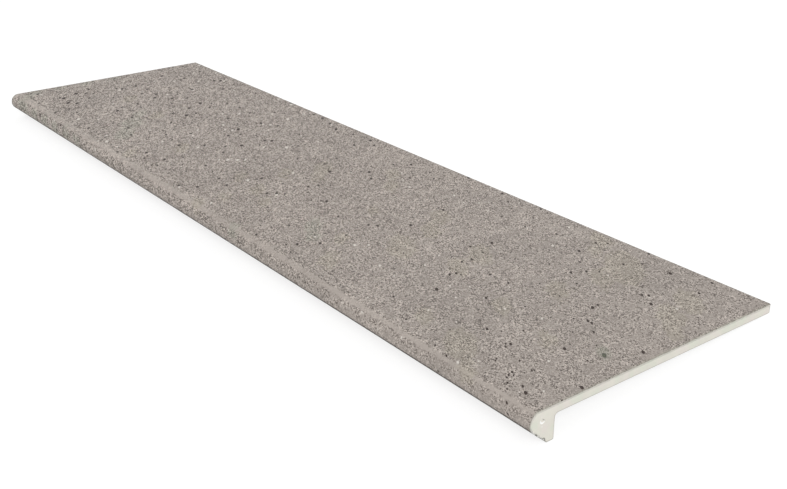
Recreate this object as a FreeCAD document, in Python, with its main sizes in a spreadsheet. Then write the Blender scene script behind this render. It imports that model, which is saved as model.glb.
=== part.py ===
import FreeCAD, Part

import enum
import math
import os

import Sketcher

# A stair tread tile with a bullnose front, pressed and fired as one piece of pale porcelain.
#
# The section is drawn level.  The top face lies at z = 0 and the back face at y = 0, and the
# nose hangs down at the front, towards -Y.  The front turns over the bullnose, then tapers
# down and back to a narrow foot.  The flat bed under the slab is laid on the step, and the
# back of the nose stands before the riser.  A rounded arris runs round the top, along the
# back and both ends, and dies out on the bullnose, where its inner edge comes out to the
# front of the nose.  The bed is pressed with shallow keys for the adhesive.
#
# The tile is stored as it lies unheld on a level floor: on the heel of the nose and on the
# lower edge at the back, so it leans back by a few degrees.

NODE = "bullnose_tile"
PARTS_FOLDER = "parts"

# Millimetres, apart from the draft of a key's walls, which is in degrees.
SIZES = {
    "tile_length": 1195,
    "tile_width": 335.5,
    "slab_thickness": 11,
    "nose_height": 37,
    "nose_depth": 29.7,
    "nose_radius": 12.5,
    "foot_width": 9,
    "toe_radius": 0.7,
    "root_radius": 4,
    "lower_edge_radius": 2,
    "arris_radius": 1.6,
    "key_size": 34,
    "key_gap": 6,
    "key_depth": 0.6,
    "key_draft": 20,
    "key_margin": 12,
}

# The back face of the nose, as a distance in front of the back of the tile.
NOSE_BACK = "(Sizes.tile_width - Sizes.nose_depth)"

# The inner edge of an end's arris turns down at the front on a smaller arc than the bullnose.
ARRIS_TURN = "(Sizes.nose_radius - Sizes.arris_radius)"

# The keys lie on a square grid, centred on the flat of the bed.
KEY_PITCH = "(Sizes.key_size + Sizes.key_gap)"
BED_FLAT = f"({NOSE_BACK} - Sizes.root_radius - Sizes.lower_edge_radius)"
BED_MIDDLE = f"(Sizes.lower_edge_radius + {BED_FLAT} / 2)"
KEY_COLUMNS = f"floor((Sizes.tile_length - 2 * Sizes.key_margin + Sizes.key_gap) / {KEY_PITCH})"
KEY_ROWS = f"floor(({BED_FLAT} - 2 * Sizes.key_margin + Sizes.key_gap) / {KEY_PITCH})"
GRID_LEFT = f"(({KEY_COLUMNS} * {KEY_PITCH} - Sizes.key_gap) / 2)"
GRID_FRONT = f"({BED_MIDDLE} + ({KEY_ROWS} * {KEY_PITCH} - Sizes.key_gap) / 2)"

# Both lower edges have the same radius, so the lean follows from where they are.
LEAN = f"atan((Sizes.nose_height - Sizes.slab_thickness) / {NOSE_BACK})"

TOUCH = 1e-6


class Point(enum.IntEnum):
    """Which point of a line or an arc a constraint takes."""

    START = 1
    END = 2
    CENTRE = 3


ORIGIN = (-1, Point.START)


def make_sheet(doc):
    """The driving sizes, each in a cell that bears its name."""
    sheet = doc.addObject("Spreadsheet::Sheet", "Sizes")
    for row, (name, value) in enumerate(SIZES.items(), start=1):
        sheet.set(f"A{row}", name.replace("_", " "))
        sheet.set(f"B{row}", str(value))
        sheet.setAlias(f"B{row}", name)
    doc.recompute()
    return sheet


def origin_feature(body, role):
    return next(item for item in body.Origin.OriginFeatures if item.Role == role)


def add_sketch(body, name, plane):
    """A sketch flat on one of the body's own origin planes."""
    sketch = body.newObject("Sketcher::SketchObject", name)
    sketch.AttachmentSupport = [(origin_feature(body, plane), "")]
    sketch.MapMode = "FlatFace"
    return sketch


def add_size(sketch, name, size, kind, *where):
    """A named dimension that follows an expression of the driving sizes."""
    value = float(sketch.evalExpression(size))
    index = sketch.addConstraint(Sketcher.Constraint(kind, *where, value))
    sketch.renameConstraint(index, name)
    sketch.setExpression(f"Constraints.{name}", size)


def line(start, end):
    return Part.LineSegment(FreeCAD.Vector(*start, 0), FreeCAD.Vector(*end, 0))


def arc(centre, radius, first_degrees, last_degrees):
    """An arc from its first angle round to its last, anticlockwise."""
    circle = Part.Circle(FreeCAD.Vector(*centre, 0), FreeCAD.Vector(0, 0, 1), radius)
    return Part.ArcOfCircle(circle, math.radians(first_degrees), math.radians(last_degrees))


def along(centre, radius, degrees):
    """The point of a circle at an angle."""
    angle = math.radians(degrees)
    return (centre[0] + radius * math.cos(angle), centre[1] + radius * math.sin(angle))


def taper_angle(upper, upper_radius, lower, lower_radius):
    """Direction, in degrees, that the straight joining two arcs of the section faces."""
    across = lower[0] - upper[0]
    down = lower[1] - upper[1]
    towards = math.degrees(math.atan2(down, across))
    opening = math.degrees(math.acos((upper_radius - lower_radius) / math.hypot(across, down)))
    return (towards - opening) % 360


def draw_section(body, sheet):
    """The outline that runs the whole length of the tile, seen from its right-hand end."""
    bed = -sheet.slab_thickness
    foot = -sheet.nose_height
    nose_back = sheet.nose_depth - sheet.tile_width
    toe = sheet.toe_radius
    edge = sheet.lower_edge_radius
    root = sheet.root_radius
    bullnose_centre = (sheet.nose_radius - sheet.tile_width, -sheet.nose_radius)
    toe_centre = (nose_back - sheet.foot_width + toe, foot + toe)
    heel_centre = (nose_back - edge, foot + edge)
    root_centre = (nose_back + root, bed - root)
    back_centre = (-edge, bed + edge)
    facing = taper_angle(bullnose_centre, sheet.nose_radius, toe_centre, toe)

    taper_top = along(bullnose_centre, sheet.nose_radius, facing)
    taper_bottom = along(toe_centre, toe, facing)
    outline = {
        "top": line((0, 0), (bullnose_centre[0], 0)),
        "bullnose": arc(bullnose_centre, sheet.nose_radius, 90, facing),
        "taper": line(taper_top, taper_bottom),
        "toe": arc(toe_centre, toe, facing, 270),
        "foot": line((toe_centre[0], foot), (heel_centre[0], foot)),
        "heel": arc(heel_centre, edge, 270, 360),
        "nose_back": line((nose_back, heel_centre[1]), (nose_back, root_centre[1])),
        "root": arc(root_centre, root, 90, 180),
        "bed": line((root_centre[0], bed), (back_centre[0], bed)),
        "back_heel": arc(back_centre, edge, 270, 360),
        "back": line((0, back_centre[1]), (0, 0)),
    }

    sketch = add_sketch(body, "Section", "YZ_Plane")
    part = {name: sketch.addGeometry(shape, False) for name, shape in outline.items()}

    smooth_joints = [
        ("top", Point.END, "bullnose", Point.START),
        ("bullnose", Point.END, "taper", Point.START),
        ("taper", Point.END, "toe", Point.START),
        ("toe", Point.END, "foot", Point.START),
        ("foot", Point.END, "heel", Point.START),
        ("heel", Point.END, "nose_back", Point.START),
        ("nose_back", Point.END, "root", Point.END),
        ("root", Point.START, "bed", Point.START),
        ("bed", Point.END, "back_heel", Point.START),
        ("back_heel", Point.END, "back", Point.START),
    ]
    for first, first_point, second, second_point in smooth_joints:
        joint = ("Tangent", part[first], first_point, part[second], second_point)
        sketch.addConstraint(Sketcher.Constraint(*joint))
    corner = ("Coincident", part["back"], Point.END, part["top"], Point.START)
    sketch.addConstraint(Sketcher.Constraint(*corner))
    sketch.addConstraint(Sketcher.Constraint("Coincident", part["top"], Point.START, *ORIGIN))
    for name in ("top", "foot", "bed"):
        sketch.addConstraint(Sketcher.Constraint("Horizontal", part[name]))
    for name in ("nose_back", "back"):
        sketch.addConstraint(Sketcher.Constraint("Vertical", part[name]))

    add_size(sketch, "bullnose_radius", "Sizes.nose_radius", "Radius", part["bullnose"])
    add_size(sketch, "toe_radius", "Sizes.toe_radius", "Radius", part["toe"])
    add_size(sketch, "heel_radius", "Sizes.lower_edge_radius", "Radius", part["heel"])
    add_size(sketch, "back_radius", "Sizes.lower_edge_radius", "Radius", part["back_heel"])
    add_size(sketch, "root_radius", "Sizes.root_radius", "Radius", part["root"])
    add_size(
        sketch, "bullnose_reach", "Sizes.tile_width - Sizes.nose_radius",
        "DistanceX", part["bullnose"], Point.CENTRE, *ORIGIN,
    )
    add_size(
        sketch, "nose_back_reach", NOSE_BACK,
        "DistanceX", part["nose_back"], Point.START, *ORIGIN,
    )
    add_size(
        sketch, "toe_reach", "Sizes.foot_width - Sizes.toe_radius",
        "DistanceX", part["toe"], Point.CENTRE, part["nose_back"], Point.START,
    )
    add_size(
        sketch, "thickness", "Sizes.slab_thickness",
        "DistanceY", part["bed"], Point.END, *ORIGIN,
    )
    add_size(
        sketch, "drop", "Sizes.nose_height",
        "DistanceY", part["foot"], Point.START, *ORIGIN,
    )
    return sketch


def pad_section(body, section):
    """The section drawn out to the tile's length, half of it to each side of the middle."""
    blank = body.newObject("PartDesign::Pad", "Blank")
    blank.Profile = section
    blank.Midplane = True
    blank.setExpression("Length", "Sizes.tile_length")
    return blank


def round_back(body, blank):
    """The arris along the back."""
    edges = enumerate(blank.Shape.Edges, start=1)
    on_corner = [f"Edge{index}" for index, edge in edges if lies_on_back_corner(edge)]
    arris = body.newObject("PartDesign::Fillet", "BackArris")
    arris.Base = (blank, on_corner)
    arris.setExpression("Radius", "Sizes.arris_radius")
    return arris


def lies_on_back_corner(edge):
    return all(abs(v.Point.y) < TOUCH and abs(v.Point.z) < TOUCH for v in edge.Vertexes)


def draw_end_waste(body, sheet):
    """What the arris takes off the right-hand end, outside its quarter circle.

    The sketch stands across the tile.  Its origin is the centre on which the arris turns
    down at the front, and it runs on past the top and the end, so that the cut is clean."""
    sketch = add_sketch(body, "EndWaste", "XZ_Plane")
    sketch.setExpression(".AttachmentOffset.Base.y", "-Sizes.nose_radius")
    sketch.setExpression(".AttachmentOffset.Base.z", f"Sizes.tile_width - {ARRIS_TURN}")

    radius = sheet.arris_radius
    end = sheet.tile_length / 2
    inner = sheet.nose_radius - radius
    centre = (end - radius, inner)
    crest = (end - radius, inner + radius)
    outside = (end + radius, inner + 2 * radius)
    quarter = sketch.addGeometry(arc(centre, radius, 0, 90), False)
    corners = [crest, (crest[0], outside[1]), outside, (outside[0], inner), (end, inner)]
    sides = [
        sketch.addGeometry(line(first, second), False)
        for first, second in zip(corners, corners[1:])
    ]
    chain = [(quarter, Point.END)]
    for side in sides:
        chain += [(side, Point.START), (side, Point.END)]
    chain.append((quarter, Point.START))
    for first, second in zip(chain[::2], chain[1::2]):
        sketch.addConstraint(Sketcher.Constraint("Coincident", *first, *second))
    for number, side in enumerate(sides):
        direction = ("Vertical", "Horizontal")[number % 2]
        sketch.addConstraint(Sketcher.Constraint(direction, side))

    level = ("Horizontal", quarter, Point.START, quarter, Point.CENTRE)
    upright = ("Vertical", quarter, Point.END, quarter, Point.CENTRE)
    sketch.addConstraint(Sketcher.Constraint(*level))
    sketch.addConstraint(Sketcher.Constraint(*upright))
    add_size(sketch, "radius", "Sizes.arris_radius", "Radius", quarter)
    add_size(
        sketch, "end", "Sizes.tile_length / 2",
        "DistanceX", *ORIGIN, quarter, Point.START,
    )
    add_size(sketch, "turn", ARRIS_TURN, "DistanceY", *ORIGIN, quarter, Point.START)
    add_size(
        sketch, "past_top", "Sizes.arris_radius",
        "DistanceY", sides[0], Point.START, sides[0], Point.END,
    )
    add_size(
        sketch, "past_end", "Sizes.arris_radius",
        "DistanceX", sides[3], Point.END, sides[3], Point.START,
    )
    return sketch


def round_ends(body, waste):
    """The arris of both ends: straight along the top, then round the front of the nose."""
    along_top = body.newObject("PartDesign::Pocket", "EndArrisTop")
    along_top.Profile = waste
    along_top.Type = "ThroughAll"
    round_nose = body.newObject("PartDesign::Groove", "EndArrisNose")
    round_nose.Profile = waste
    round_nose.ReferenceAxis = (waste, ["H_Axis"])
    round_nose.Angle = 90
    body.Document.recompute()
    both = body.newObject("PartDesign::Mirrored", "BothEnds")
    both.Originals = [along_top, round_nose]
    both.MirrorPlane = (origin_feature(body, "YZ_Plane"), [""])
    body.Tip = both
    body.Document.recompute()
    return [along_top, round_nose, both]


def draw_key(body):
    """One square key in the first corner of the grid, on the level of the bed."""
    sketch = add_sketch(body, "KeyOutline", "XY_Plane")
    sketch.setExpression(".AttachmentOffset.Base.z", "-Sizes.slab_thickness")
    left = -float(sketch.evalExpression(GRID_LEFT))
    front = -float(sketch.evalExpression(GRID_FRONT))
    right = left + float(sketch.evalExpression("Sizes.key_size"))
    back = front + float(sketch.evalExpression("Sizes.key_size"))
    corners = [(left, front), (right, front), (right, back), (left, back)]
    sides = range(4)
    for side in sides:
        sketch.addGeometry(line(corners[side], corners[(side + 1) % 4]), False)
    for side in sides:
        corner = ("Coincident", side, Point.END, (side + 1) % 4, Point.START)
        sketch.addConstraint(Sketcher.Constraint(*corner))
        direction = ("Horizontal", "Vertical")[side % 2]
        sketch.addConstraint(Sketcher.Constraint(direction, side))
    add_size(sketch, "length", "Sizes.key_size", "DistanceX", 0, Point.START, 0, Point.END)
    add_size(sketch, "width", "Sizes.key_size", "DistanceY", 1, Point.START, 1, Point.END)
    add_size(sketch, "left", GRID_LEFT, "DistanceX", 0, Point.START, *ORIGIN)
    add_size(sketch, "front", GRID_FRONT, "DistanceY", 0, Point.START, *ORIGIN)
    return sketch


def press_key(body, outline):
    """The key sunk upwards into the bed, narrowing towards its floor."""
    key = body.newObject("PartDesign::Pocket", "Key")
    key.Profile = outline
    key.Reversed = True
    key.setExpression("Length", "Sizes.key_depth")
    key.setExpression("TaperAngle", "-Sizes.key_draft")
    return key


def repeat_key(body, key):
    """The key repeated over the bed, in columns along the tile and rows across it."""
    keys = body.newObject("PartDesign::LinearPattern", "Keys")
    keys.Originals = [key]
    keys.Direction = (origin_feature(body, "X_Axis"), [""])
    keys.Direction2 = (origin_feature(body, "Y_Axis"), [""])
    keys.Mode = "Spacing"
    keys.Mode2 = "Spacing"
    keys.setExpression("Offset", KEY_PITCH)
    keys.setExpression("Offset2", KEY_PITCH)
    keys.setExpression("Occurrences", KEY_COLUMNS)
    keys.setExpression("Occurrences2", KEY_ROWS)
    body.Tip = keys
    return keys


def lean_back(body):
    """Stands the tile on its two lower edges, with its width centred over the origin."""
    body.Placement = FreeCAD.Placement(
        FreeCAD.Vector(), FreeCAD.Rotation(FreeCAD.Vector(-1, 0, 0), 1)
    )
    reach = f"(Sizes.tile_width - Sizes.nose_radius) * cos({LEAN}) + Sizes.nose_radius * sin({LEAN})"
    front = f"({reach} + Sizes.nose_radius)"
    back = f"(Sizes.arris_radius * (1 - cos({LEAN}) - sin({LEAN})))"
    height = (
        f"Sizes.slab_thickness * cos({LEAN})"
        f" + Sizes.lower_edge_radius * (1 - cos({LEAN}) - sin({LEAN}))"
    )
    body.setExpression(".Placement.Rotation.Angle", LEAN)
    body.setExpression(".Placement.Base.y", f"({front} - {back}) / 2")
    body.setExpression(".Placement.Base.z", height)


def build_tile(doc, sheet):
    body = doc.addObject("PartDesign::Body", NODE)
    body.Label = NODE
    blank = pad_section(body, draw_section(body, sheet))
    doc.recompute()
    back_arris = round_back(body, blank)
    doc.recompute()
    end_arris = round_ends(body, draw_end_waste(body, sheet))
    key = press_key(body, draw_key(body))
    doc.recompute()
    keys = repeat_key(body, key)
    lean_back(body)
    doc.recompute()
    check_cuts([blank, back_arris, *end_arris, key, keys])
    return body


def check_cuts(features):
    """Each feature after the blank takes material away."""
    for before, after in zip(features, features[1:]):
        if after.Shape.Volume > before.Shape.Volume - TOUCH:
            raise RuntimeError(f"{after.Name} cuts nothing")


def check(doc, body):
    for item in doc.Objects:
        if {"Invalid", "Error"} & set(item.State):
            raise RuntimeError(f"{item.Name} did not build: {item.State}")
    if body.Shape.isNull() or not body.Shape.isValid():
        raise RuntimeError(f"{body.Label} has no valid shape")


def main():
    doc = FreeCAD.newDocument("StairTreadTile")
    sheet = make_sheet(doc)
    tile = build_tile(doc, sheet)
    check(doc, tile)
    os.makedirs(PARTS_FOLDER, exist_ok=True)
    tile.Shape.exportStep(os.path.join(PARTS_FOLDER, f"{tile.Label}.step"))


main()
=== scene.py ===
import math

import bpy
import numpy as np
from mathutils import Matrix, Vector, noise
from mathutils.geometry import delaunay_2d_cdt


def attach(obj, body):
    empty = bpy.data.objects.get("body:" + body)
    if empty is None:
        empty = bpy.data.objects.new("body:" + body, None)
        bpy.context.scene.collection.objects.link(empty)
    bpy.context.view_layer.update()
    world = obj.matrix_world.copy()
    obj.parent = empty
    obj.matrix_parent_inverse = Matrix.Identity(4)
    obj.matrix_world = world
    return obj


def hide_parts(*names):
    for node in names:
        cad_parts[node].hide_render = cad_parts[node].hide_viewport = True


# The finish of a stair tread tile with a bullnose front: one fired piece of pale porcelain.
# A mid-grey stone-look glaze covers the top and the front of the nose and is fused to the
# body.  The cut ends, the back, the keyed bed and the foot are bare.
#
# The mesh is worked out in the tile's level frame, in millimetres: x runs along the tile from
# its middle, y is 0 at the back face and falls towards the front, and z is 0 on the top.  The
# near end, towards +X, is the one that the picture shows.

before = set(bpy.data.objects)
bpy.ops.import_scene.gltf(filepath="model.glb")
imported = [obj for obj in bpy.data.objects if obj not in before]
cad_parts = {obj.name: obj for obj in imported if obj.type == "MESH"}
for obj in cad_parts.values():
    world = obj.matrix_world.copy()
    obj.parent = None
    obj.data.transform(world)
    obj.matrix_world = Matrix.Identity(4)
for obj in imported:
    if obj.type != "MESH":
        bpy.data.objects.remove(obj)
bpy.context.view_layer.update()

NODE = "bullnose_tile"

# Sizes of the tile in millimetres, the same as in the part's source.
LENGTH = 1195.0
WIDTH = 335.5
SLAB = 11.0
NOSE_HEIGHT = 37.0
NOSE_DEPTH = 29.7
NOSE_RADIUS = 12.5
FOOT = 9.0
TOE_RADIUS = 0.7
ROOT_RADIUS = 4.0
LOWER_RADIUS = 2.0
ARRIS = 1.6
KEY = 34.0
KEY_GAP = 6.0
KEY_DEPTH = 0.6
KEY_MARGIN = 12.0

# What follows from them: the faces, the centres of the arcs as y and z, and the grid of keys.
HALF = LENGTH / 2
NOSE_BACK = NOSE_DEPTH - WIDTH
BULLNOSE = (NOSE_RADIUS - WIDTH, -NOSE_RADIUS)
TOE = (NOSE_BACK - FOOT + TOE_RADIUS, TOE_RADIUS - NOSE_HEIGHT)
HEEL = (NOSE_BACK - LOWER_RADIUS, LOWER_RADIUS - NOSE_HEIGHT)
ROOT = (NOSE_BACK + ROOT_RADIUS, -SLAB - ROOT_RADIUS)
BACK_HEEL = (-LOWER_RADIUS, LOWER_RADIUS - SLAB)
PITCH = KEY + KEY_GAP
BED_MIDDLE = (ROOT[0] + BACK_HEEL[0]) / 2
KEY_ROWS = math.floor((BACK_HEEL[0] - ROOT[0] - 2 * KEY_MARGIN + KEY_GAP) / PITCH)
KEY_COLUMNS = math.floor((LENGTH - 2 * KEY_MARGIN + KEY_GAP) / PITCH)

# The tile leans back as it rests, on the heel of its nose and its lower back edge.
LEAN = math.atan2(NOSE_HEIGHT - SLAB, WIDTH - NOSE_DEPTH)
COS, SIN = math.cos(LEAN), math.sin(LEAN)
FRONT_REACH = (WIDTH - NOSE_RADIUS) * COS + NOSE_RADIUS * SIN + NOSE_RADIUS
BACK_REACH = ARRIS * (1 - COS - SIN)
SHIFT = (FRONT_REACH - BACK_REACH) / 2
LIFT = SLAB * COS + LOWER_RADIUS * (1 - COS - SIN)

# Spacing of the mesh, in millimetres, and its steps round the arcs and across the foot.
TOP_STEP = 4.4
TAPER_STEP = 0.8
WALL_STEP = 3.0
STATION_STEP = 6.5
CAP_STEP = 1.6
CAP_MARGIN = 0.7
ARRIS_STEPS = 6
BULLNOSE_STEPS = 38
TOE_STEPS = 4
FOOT_STEPS = 5
LOWER_STEPS = 5
ROOT_STEPS = 6

# Distances from an end at which rings of the mesh lie, and of mesh lines inside a key's edge.
END_STEPS = (0, 0.08, 0.2, 0.45, 0.8, 1.2, ARRIS, 2.2, 3.2, 4.6, 6.4, 8.8)
KEY_LINES = (-0.35, 0.2, 0.8, 10.0)

# The small bevel of the ends' lower edges, and the press's soft edges and corners of the keys.
BEVEL = 0.2
KEY_WALL = (-0.1, 0.9)
KEY_CORNER = 2.5
KEY_LEAD = 0.02

# The fired surface lies under the true one by the least sink, and by more in its dips.  Each
# swell has a size, a share and a seed.  The ends lie behind their edges.
LEAST_SINK = 0.03
DIP_SINK = 0.11
SWELL_LEVEL = 0.5
SWELLS = ((34, 0.3, 1), (11, 0.35, 2))
SWELL_START = 3.0
END_SINK = 0.05
END_SWELL = (6, 0.03, 5)

# Chips and pits of the near end, in the plane of its face: y, z, radius and depth.
EDGE_CHIPS = ((-327.0, -24.6, 1.5, 0.55), (-318.6, -32.6, 2.6, 0.7), (-316.2, -34.9, 1.8, 0.5))
END_PITS = ((-319.6, -12.6, 1.5, 0.45), (-321.2, -14.6, 1.1, 0.3))

# The chips waver in outline, go down at a slant and lay the body bare.
CHIP_WAVER = (1.3, 0.25, 7)
CHIP_HEART = 0.2
CHIP_SLANT = 0.7
CHIP_LEAST = 0.05
CHIP_BARE = 6
PIT_HEART = 0.1

# Rings of points round a pit: reach in radii, room beyond, first ring, step, margin and turn.
PIT_REACH = 1.5
PIT_ROOM = 0.4
PIT_FIRST = 0.2
PIT_STEP = 0.35
PIT_MARGIN = 0.25
PIT_TURN = 0.1

# Faces further than this from the glaze take the bare body's material.
BORDER = 1.2

# Layout of the tile's texture map, in pixels of its side, and pixels to a millimetre.
MAP_SIDE = 1024
MAP_BORDER = 4
GLAZE_SCALE = 1.275
END_SCALE = 1.1

# Parts of the section.
ON_TOP, ON_BULLNOSE, ON_TAPER, BARE, ON_BED = range(5)


def to_row(x, y, z):
    """From the level frame, in millimetres, to the row's frame, in metres."""
    place = np.stack([x, y * COS + z * SIN + SHIFT, z * COS - y * SIN + LIFT], -1)
    return place / 1000


def soft_step(value, low, high):
    """A soft step from 0 to 1 between two values."""
    share = np.clip((value - low) / (high - low), 0, 1)
    return share * share * (3 - 2 * share)


def smooth_noise(points, grain, seed):
    """Noise at each point, about -1 to 1, whose features are about a grain across."""
    shift = Vector((17.3, 5.1, 9.7)) * seed
    return np.array([noise.noise(Vector(point) / grain + shift) for point in points])


def spaced(first, last, step):
    """Even places from first to last, without the first."""
    count = max(1, round(abs(last - first) / step))
    return np.linspace(first, last, count + 1)[1:]


def key_lines(middle, count):
    """Places of mesh lines across a row of keys: along each edge, on its slope and inside."""
    first = middle - (count * PITCH - KEY_GAP) / 2
    inward = np.array(KEY_LINES)
    across = np.concatenate([inward, [KEY / 2], KEY - inward[::-1]])
    return (first + PITCH * np.arange(count)[:, None] + across).reshape(-1)


def arc_run(centre, radius, first, last, count, zone, outward=1):
    """Points of an arc, without its first one: y, z, the way each faces, and their zone."""
    angles = np.radians(np.linspace(first, last, count + 1)[1:])
    away = np.stack([np.cos(angles), np.sin(angles)])
    place = np.array(centre)[:, None] + radius * away
    return np.stack([*place, *(outward * away), np.full(count, zone)])


def line_run(start, end, shares, facing, zone):
    """Points of a straight, at the given shares of its length."""
    place = np.array(start)[:, None] + np.outer(np.subtract(end, start), shares)
    away = np.outer(facing, np.ones(len(shares)))
    return np.stack([*place, *away, np.full(len(shares), zone)])


def square_run(start, end, places, facing, zone):
    """Points of a level or upright straight, at the given places along it."""
    axis = int(start[0] == end[0])
    shares = (np.asarray(places) - start[axis]) / (end[axis] - start[axis])
    return line_run(start, end, shares, facing, zone)


def taper_facing():
    """Direction, in degrees, that the straight between the bullnose and the toe faces."""
    across, down = TOE[0] - BULLNOSE[0], TOE[1] - BULLNOSE[1]
    opening = math.acos((NOSE_RADIUS - TOE_RADIUS) / math.hypot(across, down))
    return math.degrees(math.atan2(down, across) - opening) % 360


def bed_places():
    """Places of mesh lines across the bed, from the root of the nose to the back."""
    keys = key_lines(BED_MIDDLE, KEY_ROWS)
    before_keys = spaced(ROOT[0], keys[0], WALL_STEP)[:-1]
    after_keys = spaced(keys[-1], BACK_HEEL[0], WALL_STEP)
    return np.concatenate([before_keys, keys, after_keys])


def section():
    """The outline of the tile, from the back over the top, the nose, the foot and the bed.

    Its rows are y, z, the way each point faces along both, and its zone."""
    up, down, back = (0, 1), (0, -1), (1, 0)
    taper = taper_facing()
    slant = (math.cos(math.radians(taper)), math.sin(math.radians(taper)))
    taper_top = np.add(BULLNOSE, np.multiply(NOSE_RADIUS, slant))
    taper_end = np.add(TOE, np.multiply(TOE_RADIUS, slant))
    taper_shares = spaced(0, 1, TAPER_STEP / math.dist(taper_top, taper_end))
    foot = (TOE[0], -NOSE_HEIGHT), (HEEL[0], -NOSE_HEIGHT)

    top_places = spaced(-ARRIS, BULLNOSE[0], TOP_STEP)
    wall_places = spaced(HEEL[1], ROOT[1], WALL_STEP)
    back_places = spaced(BACK_HEEL[1], -ARRIS, WALL_STEP)
    return np.concatenate([
        arc_run((-ARRIS, -ARRIS), ARRIS, 0, 90, ARRIS_STEPS, ON_TOP),
        square_run((-ARRIS, 0), (BULLNOSE[0], 0), top_places, up, ON_TOP),
        arc_run(BULLNOSE, NOSE_RADIUS, 90, taper, BULLNOSE_STEPS, ON_BULLNOSE),
        line_run(taper_top, taper_end, taper_shares, slant, ON_TAPER),
        arc_run(TOE, TOE_RADIUS, taper, 270, TOE_STEPS, BARE),
        line_run(*foot, spaced(0, 1, 1 / FOOT_STEPS), down, BARE),
        arc_run(HEEL, LOWER_RADIUS, 270, 360, LOWER_STEPS, BARE),
        square_run((NOSE_BACK, HEEL[1]), (NOSE_BACK, ROOT[1]), wall_places, back, BARE),
        arc_run(ROOT, ROOT_RADIUS, 180, 90, ROOT_STEPS, BARE, outward=-1),
        square_run((ROOT[0], -SLAB), (BACK_HEEL[0], -SLAB), bed_places(), down, ON_BED),
        arc_run(BACK_HEEL, LOWER_RADIUS, 270, 360, LOWER_STEPS, BARE),
        square_run((0, BACK_HEEL[1]), (0, -ARRIS), back_places, back, BARE),
    ], axis=1)


def arris_drop(distance):
    """How far the top has come down on an end's arris, at a distance from the end."""
    inside = min(max(ARRIS - distance, 0.0), ARRIS)
    return ARRIS - math.sqrt(ARRIS * ARRIS - inside * inside)


def bullnose_reach(across, up, drop):
    """Reach of the bullnose from its centre, where an end's arris cuts into it.

    The arris turns down at the front round a centre that lies its own radius further back
    than it would to follow the bullnose, so it dies out at the front of the nose."""
    inner = NOSE_RADIUS - drop
    level = inner / np.maximum(up, 1e-9)
    turned = -ARRIS * across + np.sqrt((ARRIS * across) ** 2 - ARRIS**2 + inner**2)
    cut = np.where(level * across > -ARRIS, level, turned)
    return np.where(up > 0, np.minimum(cut, NOSE_RADIUS), NOSE_RADIUS)


def ring(base, distance):
    """The section at a distance from the nearer end."""
    y, z, face_y, face_z, zone = base
    drop = arris_drop(distance)
    reach = bullnose_reach(face_y, face_z, drop)
    on_bullnose = zone == ON_BULLNOSE
    y = np.where(on_bullnose, BULLNOSE[0] + reach * face_y, y)
    z = np.where(on_bullnose, BULLNOSE[1] + reach * face_z, z)
    z = np.where(zone == ON_TOP, np.minimum(z, -drop), z)
    bevel = max(0.0, BEVEL - distance - drop)
    return y - bevel * face_y, z - bevel * face_z


def stations():
    """Places of the rings along the tile."""
    keys = key_lines(0, KEY_COLUMNS)
    ends = HALF - np.array(END_STEPS)
    fixed = np.concatenate([-ends, keys[np.abs(keys) < ends[-1] - 1], ends[::-1]])
    filled = [fixed[:1]]
    for first, last in zip(fixed, fixed[1:]):
        filled.append(first + (last - first) * spaced(0, 1, STATION_STEP / (last - first)))
    return np.concatenate(filled)


def key_sink(x, y):
    """How deep the bed's keys lie under its ribs, with edges softened by the press."""
    grid_x = (x + (KEY_COLUMNS * PITCH - KEY_GAP) / 2) / PITCH
    grid_y = (y - BED_MIDDLE + (KEY_ROWS * PITCH - KEY_GAP) / 2) / PITCH
    keyed = np.ones(x.shape, dtype=bool)
    inside = []
    for place, count in ((grid_x, KEY_COLUMNS), (grid_y, KEY_ROWS)):
        keyed = keyed & (place > -KEY_LEAD) & (place < count)
        along = ((place + KEY_LEAD) % 1 - KEY_LEAD) * PITCH
        inside.append(np.minimum(along, KEY - along))
    short = [np.maximum(KEY_CORNER - gap, 0) for gap in inside]
    in_corner = (short[0] > 0) & (short[1] > 0)
    edge = np.where(in_corner, KEY_CORNER - np.hypot(*short), np.minimum(*inside))
    return np.where(keyed, soft_step(edge, *KEY_WALL) * KEY_DEPTH, 0.0)


def chipped(points):
    """How deep the chips are at each point."""
    grain, reach, seed = CHIP_WAVER
    waver = 1 + reach * smooth_noise(points, grain, seed)
    lost = np.zeros(len(points))
    for y, z, radius, depth in EDGE_CHIPS:
        distance = np.linalg.norm(points - np.array([HALF, y, z]), axis=1) * waver
        left = soft_step(distance, CHIP_HEART * radius, radius)
        lost = np.maximum(lost, depth * (1 - left))
    return lost


def distances_round(base):
    """Run round the section to each point, and the whole way round."""
    y, z = base[0], base[1]
    steps = np.hypot(np.diff(y, append=y[0]), np.diff(z, append=z[0]))
    run = np.concatenate([[0], np.cumsum(steps)[:-1]])
    return run, run[-1] + steps[-1]


def last_glazed(base):
    """Number of the section's last point on the glaze."""
    return np.nonzero(base[4] <= ON_TAPER)[0][-1]


def glaze_edge_distance(base, x):
    """Distance of each point of the rings from the edge of the glaze, along the surface.

    It is negative on the bare faces."""
    run, whole = distances_round(base)
    zone = base[4]
    last = last_glazed(base)
    inside = np.minimum(run, run[last] - run)
    outside = -np.minimum(run - run[last], whole - run)
    across = np.where(np.arange(len(run)) <= last, inside, outside)
    end = HALF - np.abs(x)
    turned = np.arccos(np.clip(1 - end / ARRIS, 0, 1))
    along = np.where(end < ARRIS, ARRIS * turned, end + ARRIS * (math.pi / 2 - 1))
    along = np.where(np.isin(zone, (ON_TAPER, BARE, ON_BED))[None, :], end, along)
    return np.where(across[None, :] > 0, np.minimum(across[None, :], along), across[None, :])


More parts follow.
